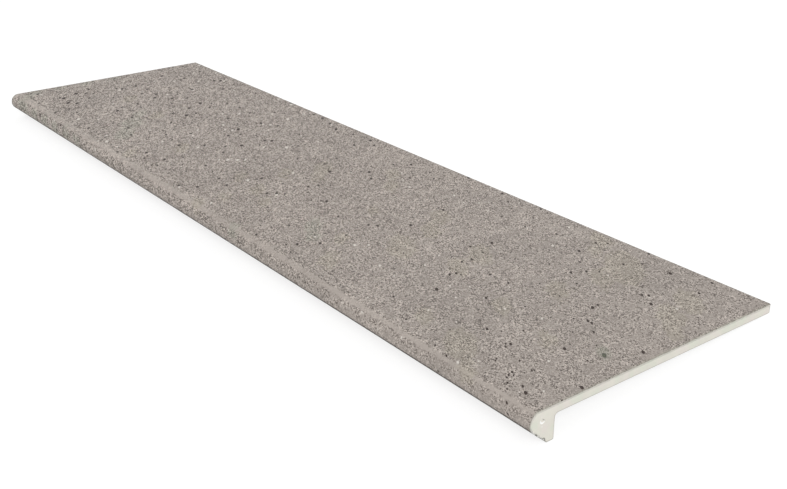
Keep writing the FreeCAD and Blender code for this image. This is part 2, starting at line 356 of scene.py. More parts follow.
def sink_surface(points, facing, end_distance):
    """Lets the fired surface swell and dip a little, always under its true form."""
    swell = SWELL_LEVEL
    for grain, share, seed in SWELLS:
        swell = swell + share * smooth_noise(points, grain, seed)
    grown = np.clip(end_distance / SWELL_START, 0, 1)
    sink = LEAST_SINK + DIP_SINK * np.clip(swell, 0, 1) * grown
    return points - facing * sink[:, None]


def inside_by(points, outline, margin):
    """Which points lie inside the outline and at least a margin from its sides."""
    first, last = outline, np.roll(outline, -1, 0)
    y, z = points[:, :1], points[:, 1:]
    crosses = (first[:, 1] > z) != (last[:, 1] > z)
    side = last - first
    rise = np.where(side[:, 1] == 0, 1e-9, side[:, 1])
    at = first[:, 0] + (z - first[:, 1]) / rise * side[:, 0]
    inside = (crosses & (y < at)).sum(1) % 2 == 1
    reach = (y - first[:, 0]) * side[:, 0] + (z - first[:, 1]) * side[:, 1]
    share = np.clip(reach / np.maximum((side * side).sum(1), 1e-12), 0, 1)
    gap_y = y - first[:, 0] - share * side[:, 0]
    gap_z = z - first[:, 1] - share * side[:, 1]
    return inside & (np.hypot(gap_y, gap_z).min(1) > margin)


def cap_points(outline, pits):
    """Points spread over an end face, closer together round its pits."""
    y, z = np.meshgrid(np.arange(-WIDTH, 0, CAP_STEP), np.arange(-NOSE_HEIGHT, 0, CAP_STEP))
    y = y + (np.arange(len(y)) % 2 * CAP_STEP / 2)[:, None]
    spread = np.stack([y.reshape(-1), z.reshape(-1)], -1)
    spread = spread[inside_by(spread, outline, CAP_MARGIN)]
    for pit_y, pit_z, radius, _ in pits:
        gap = np.hypot(spread[:, 0] - pit_y, spread[:, 1] - pit_z)
        closer = np.array([
            (pit_y + r * math.cos(a), pit_z + r * math.sin(a))
            for r in np.arange(PIT_FIRST, PIT_REACH * radius, PIT_STEP)
            for a in np.arange(PIT_TURN, 2 * math.pi, PIT_STEP / r)
        ])
        closer = closer[inside_by(closer, outline, PIT_MARGIN)]
        spread = np.concatenate([spread[gap >= PIT_REACH * radius + PIT_ROOM], closer])
    return spread


def cap(outline, pits):
    """Faces over an end: the new points' y and z, and triangles that count the outline first."""
    spread = cap_points(outline, pits)
    count = len(outline)
    sides = [(k, (k + 1) % count) for k in range(count)]
    around = [Vector(point) for point in np.concatenate([outline, spread])]
    border = [list(range(count))]
    found, _, triangles, origins, *_ = delaunay_2d_cdt(around, sides, border, 1, 1e-7)
    number = {}
    fresh = []
    for index, origin in enumerate(origins):
        if origin[0] < count:
            number[index] = origin[0]
        else:
            number[index] = count + len(fresh)
            fresh.append(found[index])
    triangles = np.array([[number[corner] for corner in triangle] for triangle in triangles])
    fresh = np.array(fresh)
    every = np.concatenate([outline, fresh])
    a, b, c = (every[triangles[:, k]] for k in range(3))
    turn = (b[:, 0] - a[:, 0]) * (c[:, 1] - a[:, 1]) - (b[:, 1] - a[:, 1]) * (c[:, 0] - a[:, 0])
    triangles[turn < 0] = triangles[turn < 0][:, ::-1]
    return fresh, triangles


def cap_sink(points, pits):
    """How far an end face lies behind its edges, with its pits."""
    grain, reach, seed = END_SWELL
    flat = np.stack([points[:, 0], points[:, 1], 0 * points[:, 0]], -1)
    sink = END_SINK + reach * smooth_noise(flat, grain, seed)
    for y, z, radius, depth in pits:
        gap = np.hypot(points[:, 0] - y, points[:, 1] - z)
        sink = sink + depth * (1 - soft_step(gap, PIT_HEART, radius))
    return sink


def nearest(points, outline):
    """Distance of each point from the nearest point of an outline."""
    gaps = points[:, None] - outline[None]
    return np.hypot(gaps[..., 0], gaps[..., 1]).min(1)


def map_of_rings(base, places):
    """Where each corner of the long faces lies on the map.

    The glaze is cut across the middle of the tile, and its halves lie one above the other.  The
    bare faces stand on end beside them."""
    run, whole = distances_round(base)
    last = last_glazed(base)
    edges = np.append(run, whole)
    x = np.stack([places[:-1], places[:-1], places[1:], places[1:]], -1)[:, None]
    down = np.stack([edges[:-1], edges[1:], edges[1:], edges[:-1]], -1)[None]
    x, down = np.broadcast_arrays(x, down)
    near_half = x.mean(-1, keepdims=True) > 0
    across = np.where(near_half, x, x + HALF) * GLAZE_SCALE
    along = down * GLAZE_SCALE
    along = along + np.where(near_half, edges[last] * GLAZE_SCALE + MAP_BORDER, 0)
    glaze = MAP_BORDER + np.stack([across, along], -1)

    bare_from = HALF * GLAZE_SCALE + 2 * MAP_BORDER
    bare_scale = (MAP_SIDE - MAP_BORDER - bare_from) / (whole - edges[last])
    length_scale = (MAP_SIDE - 2 * MAP_BORDER) / LENGTH
    across = bare_from + (down - edges[last]) * bare_scale
    along = MAP_BORDER + (x + HALF) * length_scale
    bare = np.stack([across, along], -1)
    is_bare = (np.arange(len(run)) >= last)[None, :, None, None]
    return np.where(is_bare, bare, glaze).reshape(-1, 2) / MAP_SIDE


def map_of_end(corners, side):
    """Where the corners of an end face, as y and z, lie on the map, below the glaze."""
    beside = WIDTH * END_SCALE + MAP_BORDER if side > 0 else 0
    across = MAP_BORDER + (corners[..., 0] + WIDTH) * END_SCALE + beside
    along = MAP_SIDE - MAP_BORDER + corners[..., 1] * END_SCALE
    return np.stack([across, along], -1).reshape(-1, 2) / MAP_SIDE


def long_points(base, places):
    """The points of the rings, each one's distance inside the glaze, and its run down the nose."""
    around = base.shape[1]
    distances = HALF - np.abs(places)
    rings = np.array([ring(base, distance) for distance in distances])
    x = np.repeat(places[:, None], around, 1)
    y, z = rings[:, 0], rings[:, 1]
    z = z + np.where(base[4] == ON_BED, key_sink(x, y), 0.0)

    points = np.stack([x, y, z], -1).reshape(-1, 3)
    facing = np.tile(np.stack([0 * base[2], base[2], base[3]], -1), (len(places), 1))
    points = sink_surface(points, facing, np.repeat(distances, around))
    lost = chipped(points)
    inward = CHIP_SLANT * (facing + np.array([1, 0, 0]))
    points = points - inward * lost[:, None]

    glaze = glaze_edge_distance(base, x).reshape(-1)
    glaze = np.where(lost > CHIP_LEAST, -CHIP_BARE * lost, glaze)
    run, _ = distances_round(base)
    run = run - run[np.nonzero(base[4] == ON_TOP)[0][-1]]
    return points, glaze, np.tile(run, len(places))


def build_tile():
    """The whole skin of the tile as one closed mesh: rings along it, and a cap on each end."""
    base = section()
    places = stations()
    points, glaze, run = long_points(base, places)
    index = np.arange(len(points)).reshape(len(places), -1)
    beside = np.roll(index, -1, axis=1)
    quads = np.stack([index[:-1], beside[:-1], beside[1:], index[1:]], -1).reshape(-1, 4)
    faces = quads.tolist()
    corners = [map_of_rings(base, places)]
    glazed = base[4] <= ON_TAPER
    for side, around, pits in ((-1, index[0], ()), (1, index[-1], END_PITS)):
        outline = points[around][:, 1:]
        fresh, triangles = cap(outline, pits)
        triangles = triangles if side > 0 else triangles[:, ::-1]
        numbers = np.concatenate([around, len(points) + np.arange(len(fresh))])
        faces += numbers[triangles].tolist()
        corners.append(map_of_end(np.concatenate([outline, fresh])[triangles], side))
        x = side * (HALF - cap_sink(fresh, pits))
        points = np.concatenate([points, np.column_stack([x, fresh])])
        glaze = np.concatenate([glaze, -nearest(fresh, outline[glazed])])
        run = np.concatenate([run, np.full(len(fresh), run[-1])])
    return make_tile(points, faces, glaze, run, np.concatenate(corners))


def make_tile(points, faces, glaze, run, corners):
    """The tile as an object, with what its materials ask for at each point, and its map."""
    mesh = bpy.data.meshes.new("stair_tread_tile")
    mesh.from_pydata(to_row(*points.T).tolist(), [], faces)
    mesh.validate()
    for name, values in (("glaze_mm", glaze), ("nose_mm", run)):
        attribute = mesh.attributes.new(name, "FLOAT", "POINT")
        attribute.data.foreach_set("value", values.astype(np.float32))
    level = mesh.attributes.new("level_mm", "FLOAT_VECTOR", "POINT")
    level.data.foreach_set("vector", points.astype(np.float32).reshape(-1))
    layout = mesh.uv_layers.new(name="OFBake")
    layout.uv.foreach_set("vector", corners.astype(np.float32).reshape(-1))
    mesh.polygons.foreach_set("use_smooth", np.ones(len(mesh.polygons), dtype=bool))
    bare = [int(max(glaze[corner] for corner in face) < -BORDER) for face in faces]
    mesh.polygons.foreach_set("material_index", bare)
    tile = bpy.data.objects.new("stair_tread_tile", mesh)
    bpy.context.scene.collection.objects.link(tile)
    return tile


class Tree:
    """A material's nodes, in short words."""

    def __init__(self, name):
        self.material = bpy.data.materials.new(name)
        self.material.use_nodes = True
        self.nodes = self.material.node_tree.nodes
        self.links = self.material.node_tree.links
        self.nodes.clear()

    def put(self, socket, value):
        if isinstance(value, bpy.types.NodeSocket):
            self.links.new(value, socket)
        else:
            socket.default_value = value

    def attribute(self, name, output="Fac"):
        node = self.nodes.new("ShaderNodeAttribute")
        node.attribute_name = name
        return node.outputs[output]

    def math(self, operation, first, second=0.0, third=0.0):
        node = self.nodes.new("ShaderNodeMath")
        node.operation = operation
        for socket, value in zip(node.inputs, (first, second, third)):
            self.put(socket, value)
        return node.outputs[0]

    def add(self, *values):
        total = values[0]
        for value in values[1:]:
            total = self.math("ADD", total, value)
        return total

    def times(self, *values):
        total = values[0]
        for value in values[1:]:
            total = self.math("MULTIPLY", total, value)
        return total

    def opposite(self, share):
        return self.math("SUBTRACT", 1.0, share)

    def centred(self, value, reach):
        """A value of 0 to 1 turned into a stray to each side of nothing."""
        return self.times(self.math("SUBTRACT", value, 0.5), reach)

    def vector(self, operation, first, second):
        node = self.nodes.new("ShaderNodeVectorMath")
        node.operation = operation
        self.put(node.inputs[0], first)
        self.put(node.inputs["Scale" if operation == "SCALE" else 1], second)
        return node.outputs["Value" if operation == "DISTANCE" else "Vector"]

    def parts(self, vector):
        node = self.nodes.new("ShaderNodeSeparateXYZ")
        self.put(node.inputs[0], vector)
        return node.outputs

    def noise(self, place, size, detail=1.0, roughness=0.5, output="Fac", flat=False):
        """Cloudy noise whose largest features are about a size across, in millimetres."""
        node = self.nodes.new("ShaderNodeTexNoise")
        node.noise_dimensions = "2D" if flat else "3D"
        self.put(node.inputs["Vector"], place)
        node.inputs["Scale"].default_value = 1 / size
        node.inputs["Detail"].default_value = detail
        node.inputs["Roughness"].default_value = roughness
        return node.outputs[output]

    def cells(self, place, size, flat=False):
        """A random colour for each grain, and the distance from its middle in millimetres."""
        node = self.nodes.new("ShaderNodeTexVoronoi")
        node.voronoi_dimensions = "2D" if flat else "3D"
        self.put(node.inputs["Vector"], place)
        node.inputs["Scale"].default_value = 1 / size
        colour = self.nodes.new("ShaderNodeSeparateColor")
        self.put(colour.inputs[0], node.outputs["Color"])
        return colour.outputs, self.times(node.outputs["Distance"], size)

    def ramp(self, value, low, high, out_low=0.0, out_high=1.0):
        """A soft step between two values."""
        node = self.nodes.new("ShaderNodeMapRange")
        node.interpolation_type = "SMOOTHSTEP"
        for socket, entry in zip(node.inputs, (value, low, high, out_low, out_high)):
            self.put(socket, entry)
        return node.outputs[0]

    def mix(self, share, first, second, blend="MIX"):
        node = self.nodes.new("ShaderNodeMix")
        node.data_type = "RGBA"
        node.blend_type = blend
        colours = [socket for socket in node.inputs if socket.type == "RGBA"]
        self.put(node.inputs["Factor"], share)
        self.put(colours[0], first)
        self.put(colours[1], second)
        return next(socket for socket in node.outputs if socket.type == "RGBA")

    def tinted(self, colour, tint):
        return self.mix(1.0, colour, tint, "MULTIPLY")

    def flecks(self, place, size, shares, radii, soft, flat=False):
        """Flecks in some of the grains, twice: pale ones in the first share and dark in the last.

        Each is 1 inside a fleck and 0 outside.  The radii are the least and the most."""
        colour, distance = self.cells(place, size, flat)
        radius = self.ramp(colour[1], 0.0, 1.0, *radii)
        inside = self.ramp(self.math("SUBTRACT", radius, distance), -soft, soft)
        pale = self.math("LESS_THAN", colour[0], shares[0])
        dark = self.math("GREATER_THAN", colour[0], 1 - shares[1])
        return self.times(pale, inside), self.times(dark, inside)

    def spots(self, place, marks, soft):
        """Marks at chosen places, each an x, y, z and a radius: 1 inside and 0 outside."""
        found = 0.0
        for *centre, radius in marks:
            distance = self.vector("DISTANCE", place, tuple(centre))
            spot = self.ramp(distance, radius + soft, radius - soft)
            found = self.math("MAXIMUM", found, spot)
        return found


def shade(red, green, blue):
    """The linear colour of an 8-bit one."""
    parts = [part / 255 for part in (red, green, blue)]
    return (*(p / 12.92 if p <= 0.04045 else ((p + 0.055) / 1.055) ** 2.4 for p in parts), 1.0)


# The glaze is unrolled for its patterns: place along the tile, and run down the glaze from the
# top of the bullnose, both in millimetres.  A pair of places is a soft step from 0 to 1, and two
# more numbers are the step's own values.
#
# Sizes of the grain in millimetres, and tones: 0 is the dark grain's and 1 the light one's.  The
# coarse grain grows from a place along the tile to the far end.  The contrast is given at the far
# and the near end.
GRAIN = 1.0
GRAIN_DRIFT = (1.6, 0.8)
COARSE_GRAIN = 2.0
WORM = 1.5
LUMP = 13
CLUMP = 15
GRAIN_TONE = 2.0
WORM_TONE = 0.5
LUMP_TONE = 0.5
COARSE_TONE = 1.1
COARSE_FROM = 300.0
LEVEL_TONE = 0.47
CLUMP_LEVEL = (0.36, 0.52, 0.45, 1.1)
CONTRAST = (1.85, 0.54)

# The smooth pale band on the turn of the nose, partly the glaze's own and partly a painted
# highlight: the runs of its edges at the far and the near end, which follow where the highlight
# falls, their softness, and its tone, which changes up to a place along the tile.
BAND_TOP = (-4.5, 6.2)
BAND_BOTTOM = (7.4, 9.8)
BAND_SOFT = 0.9
BAND_CALM = 0.24
BAND_HIGHLIGHT_TONE = (100.0, 0.17, 0.12)

# The rim of the glaze: where it starts, its width at the far end and from the middle on.
RIM_START = 0.4
RIM_WIDTH = (7.0, 3.2)
RIM_WAVER = 0.25
RIM_CALM = 0.5
RIM_TONE = -0.07
EDGE_STRAY = (14, 2.6)

# The front of the nose is calmer near the near end.  Low down it is painted paler, a painted light
# that offsets its shade there.  A dark line of painted shade lies where it turns under, and fades
# out on the taper.
NOSE_CALM = (-100.0, 400.0, 0.0, 0.3)
NOSE_FRONT = (5.0, 11.0)
PAINTED_LIGHT_LOW = (15.0, 21.0)
PAINTED_LIGHT_LOW_TONE = (300.0, 0.0, 0.14)
SHADE_UNDER_NOSE = (23.8, 25.4)
SHADE_UNDER_NOSE_FADE = (37.0, 29.0)
SHADE_UNDER_NOSE_TONE = -0.5
SHADE_UNDER_NOSE_COLOUR = (0.3, shade(40, 37, 34))

# Dark and light grain: plain, in the beige patches and in the green ones.
PLAIN = (shade(93, 85, 79), shade(206, 196, 188))
BEIGE = (shade(94, 86, 77), shade(207, 198, 185))
GREEN = (shade(89, 89, 79), shade(194, 194, 180))
PATCH_SOFT = 7.0
PATCH_STRAY = (9, 1.6)
PATCH_EDGE = (0.3, 0.75)
BEIGE_SHARE = 0.8
GREEN_SHARE = 0.45
GREEN_RIM = 0.5

# Slow clouds over the whole tile, and a painted shade that offsets the glaze's sheen: slight at
# the near end and on the nose, and darker and warmer on the top from the middle on.
CLOUD = 100
CLOUD_LEVEL = (0.3, 0.7, 0.95, 1.05)
SHADE_TINT_PLACES = (450.0, 0.0)
SHADE_TINT_NOSE = (12.0, 6.0)
NEAR_SHADE_TINT = (0.992, 0.985, 0.974, 1.0)
FAR_SHADE_TINT = (0.973, 0.959, 0.944, 1.0)

# The specks are slivers: their long axis is turned from the tile's length by this angle.
SLIVER_TURN = math.radians(37.8)
SLIVER_STRETCH = 2.0

# Slivers: size of their grains, shares that hold pale and dark ones, radii and softness.  They
# are larger at the far end, smaller on the nose, and larger in some places than in others.
SMALL_SLIVERS = (4.6, (0.12, 0.22), (0.2, 0.8), 0.2)
LARGE_SLIVERS = (13, (0.14, 0.3), (0.65, 1.45), 0.15)
SLIVER_ENDS = (1.6, 0.8)
SLIVER_NOSE = (1.0, 10.0, 1.0, 0.55)
SLIVER_CROWD = 34
SLIVER_CROWD_LEVEL = (0.4, 0.6, 0.75, 1.2)
SLIVER_CALM = 0.85
PALE_SLIVER = (0.45, shade(203, 195, 187))
WHITE_SLIVER = (0.8, shade(224, 219, 211))
BROWN_SLIVER = (0.65, shade(97, 82, 68))
BLACK_SLIVER = (0.98, shade(38, 18, 6))

# Gloss and height of the glaze follow its grain.
GLAZE_ROUGHNESS = 0.62
GRAIN_ROUGHNESS = -0.06
BAND_ROUGHNESS = -0.07
GRAIN_HEIGHT = 0.5
GLAZE_RELIEF = 0.0003

# Marks of the glaze that stand out in the picture: place, run and radius.
BLACK_SPECKS = (
    (341, -278, 1.3), (390, -264, 1.6), (432, -231, 1.4), (413, -104, 1.4),
    (333, -155, 1.3), (307, -176, 1.3), (350, -118, 1.4), (401, -146, 1.2),
    (463, -60, 1.4), (494, -174, 1.7), (511, -149, 1.4), (516, -149, 1.3),
    (386, -295, 1.3), (444, -276, 1.3), (490, -298, 1.7), (511, -239, 1.4),
    (539, -284, 1.4), (585, -144, 1.6), (536, -91, 1.6), (525, -226, 1.7),
    (570, -8, 1.6), (566, 12, 0.9), (570, 21, 0.9), (599, -24, 1.4),
    (594, -53, 1.6), (-412, -86, 2.3), (-166, -40, 1.9), (-326, -159, 2.4),
    (367, -77, 1.8), (-418, -275, 2.2), (-202, -160, 2.0), (-143, -118, 1.7),
    (-110, -72, 1.7), (-244, -122, 1.6), (-64, -90, 1.2), (-83, -67, 1.3),
    (-515, -256, 2.1), (-584, -290, 1.7), (-139, -174, 1.4), (-197, -241, 1.6),
    (-210, -314, 1.7), (-158, -64, 1.3), (-538, -298, 1.9), (-461, -6, 1.9),
    (-467, -31, 1.6), (-442, -33, 1.7), (-520, -145, 1.9), (-524, -97, 1.7),
    (-358, -15, 1.7), (-324, -62, 1.7), (-583, -15, 1.7), (-481, 13, 1.9),
    (-522, -170, 2.0), (513, -25, 0.9), (511, -28, 0.9), (541, -13, 1.0),
    (539, -17, 1.0), (537, -23, 1.1), (542, -20, 0.8), (548, -7, 1.0),
    (546, -39, 0.9), (547, -41, 0.9), (500, -50, 1.0), (457, 0, 1.0),
    (478, 4, 0.9),
)
WHITE_BITS = ((-279, 13, 1.4), (-254, -12, 1.4), (480, -117, 1.1))
BEIGE_PATCHES = (
    (70, -250, 10), (100, -225, 10), (-5, -190, 13), (20, -165, 9), (-20, -140, 9),
    (-45, -88, 9), (10, -80, 10), (50, -65, 8), (5, -35, 8), (220, -205, 12), (245, -170, 12),
    (260, -115, 17), (330, -170, 14), (340, -130, 12), (385, -305, 12), (400, -280, 8),
    (450, -270, 22), (455, -230, 12), (445, -175, 12), (545, -260, 14), (555, -220, 14),
    (575, -200, 10), (435, -105, 10), (515, -90, 9), (200, -75, 9), (240, -30, 12),
    (470, -20, 16), (405, -30, 10), (-460, -130, 11), (-355, -125, 11), (-195, -80, 11),
    (-220, -15, 9), (155, -155, 7), (3, 2, 8), (505, 4, 9),
)
GREEN_PATCHES = (
    (-340, -75, 16), (-300, -45, 14), (-375, -105, 10), (150, -70, 11), (175, -52, 8),
    (96, 7, 8), (-566, -4, 9), (-560, 14, 8), (-590, -25, 12), (-592, -70, 10),
    (-592, -115, 10), (-590, -165, 9), (-540, 19, 9), (-500, 20, 9), (-460, 19, 9),
    (-420, 20, 9), (-380, 19, 9), (-340, 20, 8),
)
BLACK_SOFT = 0.15
WHITE_SOFT = 0.2

# The one large green speck, from its halo to its heart: mark, softness, share and colour.
GREEN_SPECK = (
    ((563.5, -114.5, 6.0), 3.5, 0.45, shade(141, 144, 128)),
    ((567.0, -111.0, 2.1), 0.5, 0.9, shade(58, 63, 48)),
    ((567.4, -110.6, 0.8), 0.5, 0.5, shade(120, 124, 100)),
)

# The bare body is mottled: cream and white on a warm and a cool side.
CREAM = (22, (0.35, 0.65), shade(225, 222, 211), shade(220, 217, 207))
TINT = (13, (50, 50, 50))
WARM_BODY = ((0.5, 0.7), shade(225, 219, 211))
COOL_BODY = ((0.5, 0.32), shade(219, 220, 207))

# Its fine speckle and its pores.
SPECKLE = 0.8
SPECKLE_SHADE = (0.05, shade(180, 172, 158))
PORES = (3.2, (0.0, 0.16), (0.08, 0.24), 0.08)
PORE_SHADE = (0.5, shade(160, 153, 140))
BODY_ROUGHNESS = (0.74, 0.82)
BODY_GRAIN = 1.2
BODY_HEIGHTS = (0.2, -0.8, 0.3)
BODY_RELIEF = 0.00015

# Faces that look down, by their normal's rise.  The key floors are darker, a painted shade in
# these recesses, and the ribs carry kiln dust, and both are told by their height.
FACING_DOWN = (-0.4, -0.8)
KEY_FLOOR = (-10.8, -10.5)
KEY_FLOOR_PAINTED_SHADE = (0.6, shade(196, 189, 173))
RIB = (-10.6, -10.82)
DUST = (26, 3.0, 0.6)
DUST_LEVEL = (0.38, 0.6, 0.2, 0.85)
DUST_SHADE = shade(240, 239, 235)

# A pale lip where the glaze ends on the lower half of the nose's end.
LIP_EDGE = (-1.9, -0.7)
LIP_HEIGHT = (-13.0, -19.0)
LIP_SHADE = (0.8, shade(238, 237, 232))

# Waver of the glaze's edge, in millimetres: size, reach and softness.
GLAZE_WAVER = (3.2, 1.0)
GLAZE_SOFT = (-0.45, 0.5)

# Marks of the near end, in millimetres: x, y, z and radius, and each kind's softness and shade.
# On the pit, the dark streak is a painted shadow, and the white lip and the pale glows by it are
# painted highlights.
# Grey marks in and round the chips, darker than the bare body.
CHIP_GREY_MARKS = (
    (HALF, -328.0, -24.0, 1.1), (HALF, -326.9, -25.1, 1.1), (HALF, -318.3, -33.0, 2.4),
    (HALF, -316.2, -34.9, 0.8), (HALF, -322.2, -29.7, 0.6),
)
CHIP_MIDDLE = ((HALF, -318.5, -32.9, 1.2),)
PIT_SHADOW = ((HALF, -320.1, -11.2, 0.5), (HALF, -319.1, -12.2, 0.7), (HALF, -317.9, -13.1, 0.5))
PIT_HIGHLIGHT = ((HALF, -320.7, -12.9, 2.9),)
PIT_MOUTH = ((HALF, -320.2, -11.4, 2.7),)
PIT_GLOW = ((HALF, -320.9, -18.4, 1.0), (HALF, -321.6, -8.6, 0.8))
PIT_HIGHLIGHT_SOFT = 0.35
PIT_HIGHLIGHT_COLOUR = shade(250, 250, 247)
CHIP_MARKS = (
    (CHIP_GREY_MARKS, 0.35, 0.85, shade(122, 121, 113)),
    (CHIP_MIDDLE, 0.3, 1.0, shade(232, 231, 226)),
)
PIT_PAINTED_LIGHT = (
    (PIT_GLOW, 0.6, 0.5, shade(234, 233, 226)),
    (PIT_SHADOW, 0.3, 0.8, shade(142, 143, 134)),
)


def sliver_places(marks):
    """The marks' places and radii in the frame in which the slivers are round."""
    cosine, sine = math.cos(SLIVER_TURN), math.sin(SLIVER_TURN)
    return [
        ((x * cosine + run * sine) / SLIVER_STRETCH, run * cosine - x * sine, 0, radius)
        for x, run, radius in marks
    ]


def sliver_frame(t, skin):
    """The unrolled glaze's places in the frame in which the slivers are round."""
    turned = t.nodes.new("ShaderNodeMapping")
    turned.vector_type = "TEXTURE"
    t.put(turned.inputs["Vector"], skin)
    turned.inputs["Rotation"].default_value = (0, 0, SLIVER_TURN)
    turned.inputs["Scale"].default_value = (SLIVER_STRETCH, 1, 1)
    return turned.outputs[0]


def glaze_frames(t, along, nose):
    """The unrolled glaze's places, plain and in the slivers' frame."""
    unrolled = t.nodes.new("ShaderNodeCombineXYZ")
    t.put(unrolled.inputs[0], along)
    t.put(unrolled.inputs[1], nose)
    skin = unrolled.outputs[0]
    return skin, sliver_frame(t, skin)


def nose_band_and_highlight(t, along, nose, stray):
    """The smooth pale band, partly a painted highlight, wide at the far end and narrow at the near
    one.
    """
    share = t.math("MULTIPLY_ADD", along, 1 / LENGTH, 0.5)
    down = t.math("ADD", nose, stray)
    top, bottom = (
        t.math("SUBTRACT", down, t.math("MULTIPLY_ADD", share, near - far, far))
        for far, near in (BAND_TOP, BAND_BOTTOM)
    )
    return t.times(t.ramp(top, -BAND_SOFT, BAND_SOFT), t.ramp(bottom, BAND_SOFT, -BAND_SOFT))


def glaze_rim(t, along, edge, stray):
    """The darker rim round the glaze."""
    distance = t.math("MULTIPLY_ADD", stray, RIM_WAVER, edge)
    width = t.ramp(along, -HALF, 0, *RIM_WIDTH)
    return t.ramp(distance, RIM_START, width, 1.0, 0.0)


def grain(t, skin, slivers, along):
    """The crushed grain of the glaze, as tones to each side of nothing."""
    drift_size, drift_reach = GRAIN_DRIFT
    drift = t.noise(skin, drift_size, 0.0, output="Color", flat=True)
    drift = t.vector("SCALE", t.vector("SUBTRACT", drift, (0.5, 0.5, 0.5)), drift_reach)
    fine, _ = t.cells(t.vector("ADD", skin, drift), GRAIN, flat=True)
    coarse, _ = t.cells(t.vector("ADD", slivers, drift), COARSE_GRAIN, flat=True)
    worms = t.noise(skin, WORM, 1.0, 0.6, flat=True)
    far_away = t.ramp(along, COARSE_FROM, -HALF, 0.0, COARSE_TONE)
    strays = (fine[0], GRAIN_TONE), (worms, WORM_TONE), (coarse[0], far_away)
    return t.add(*(t.centred(value, reach) for value, reach in strays))


def contrast(t, along, skin, nose, band, rim):
    """How strong the grain is: in clumps, calmer on the band, the rim and the near nose."""
    clump = t.ramp(t.noise(skin, CLUMP, 1.0, 0.6, flat=True), *CLUMP_LEVEL)
    on_band = t.ramp(band, 0, 1, 1.0, BAND_CALM)
    on_rim = t.ramp(rim, 0, 1, 1.0, RIM_CALM)
    on_nose = t.times(t.ramp(along, *NOSE_CALM), t.ramp(nose, *NOSE_FRONT))
    gain = t.ramp(along, -HALF, HALF, *CONTRAST)
    return t.times(clump, gain, on_band, on_rim, t.opposite(on_nose))


def from_far_end(t, along, change):
    """A value that changes from the far end to a place along the tile."""
    place, far, near = change
    return t.ramp(along, -HALF, place, far, near)


def glaze_tone(t, along, skin, nose, fine, band, rim, under):
    """How light the glaze is, from its dark grain to its light one."""
    lumps = t.centred(t.noise(skin, LUMP, 3.0, 0.6, flat=True), LUMP_TONE)
    strong = contrast(t, along, skin, nose, band, rim)
    return t.add(
        t.times(t.add(fine, lumps), strong),
        LEVEL_TONE,
        # Partly painted highlight: the band on the turn of the nose is paler.
        t.times(band, from_far_end(t, along, BAND_HIGHLIGHT_TONE)),
        # Painted light: the low front of the nose is made paler to offset its shade.
        t.times(t.ramp(nose, *PAINTED_LIGHT_LOW), from_far_end(t, along, PAINTED_LIGHT_LOW_TONE)),
        t.times(rim, RIM_TONE),
        # Painted shade: the glaze darkens where the nose turns under.
        t.times(under, SHADE_UNDER_NOSE_TONE),
    )


def patches(t, slivers, marks, broken_up, share):
    """Soft patches with broken edges."""
    found = t.spots(slivers, sliver_places(marks), PATCH_SOFT)
    return t.times(t.ramp(t.add(found, broken_up), *PATCH_EDGE), share)


def grain_colour(t, tone, place, along, nose, skin, slivers, rim):
    """Colour of the grain, with its tinted patches and clouds, under a painted shade."""
    size, reach = PATCH_STRAY
    broken_up = t.centred(t.noise(skin, size, 2.0, 0.6, flat=True), reach)
    beige = patches(t, slivers, BEIGE_PATCHES, broken_up, BEIGE_SHARE)
    green = patches(t, slivers, GREEN_PATCHES, broken_up, GREEN_SHARE)
    green = t.math("MAXIMUM", green, t.times(rim, GREEN_RIM))
    dark, light = (
        t.mix(green, t.mix(beige, plain, tinged), mossy)
        for plain, tinged, mossy in zip(PLAIN, BEIGE, GREEN)
    )
    cloud = t.ramp(t.noise(place, CLOUD), *CLOUD_LEVEL)
    # Painted shade: the top darkens and warms towards the far end to offset its sheen.
    warm = t.times(t.ramp(along, *SHADE_TINT_PLACES), t.ramp(nose, *SHADE_TINT_NOSE))
    tint = t.mix(warm, NEAR_SHADE_TINT, FAR_SHADE_TINT)
    return t.tinted(t.tinted(t.mix(tone, dark, light), cloud), tint)


def scattered(t, slivers, kind, spread):
    """Slivers scattered over the glaze, pale and dark, with radii that are times the spread."""
    size, shares, radii, soft = kind
    radii = [t.times(spread, radius) for radius in radii]
    return t.flecks(slivers, size, shares, radii, soft, flat=True)


def with_slivers(t, colour, along, nose, skin, slivers, band):
    """Lays the pale, white, brown and black slivers on the grain."""
    crowd = t.ramp(t.noise(skin, SLIVER_CROWD, flat=True), *SLIVER_CROWD_LEVEL)
    ends = t.ramp(along, -HALF, HALF, *SLIVER_ENDS)
    spread = t.times(ends, t.ramp(nose, *SLIVER_NOSE), crowd)
    pale, brown = scattered(t, slivers, SMALL_SLIVERS, spread)
    white, black = scattered(t, slivers, LARGE_SLIVERS, spread)
    quiet = t.opposite(t.times(band, SLIVER_CALM))
    white_bits = t.spots(slivers, sliver_places(WHITE_BITS), WHITE_SOFT)
    black_specks = t.spots(slivers, sliver_places(BLACK_SPECKS), BLACK_SOFT)
    layers = (
        (t.times(pale, quiet), PALE_SLIVER),
        (t.math("MAXIMUM", t.times(white, quiet), white_bits), WHITE_SLIVER),
        (t.times(brown, quiet), BROWN_SLIVER),
        (t.math("MAXIMUM", t.times(black, quiet), black_specks), BLACK_SLIVER),
    )
    for inside, (share, sliver) in layers:
        colour = t.mix(t.times(inside, share), colour, sliver)
    return colour


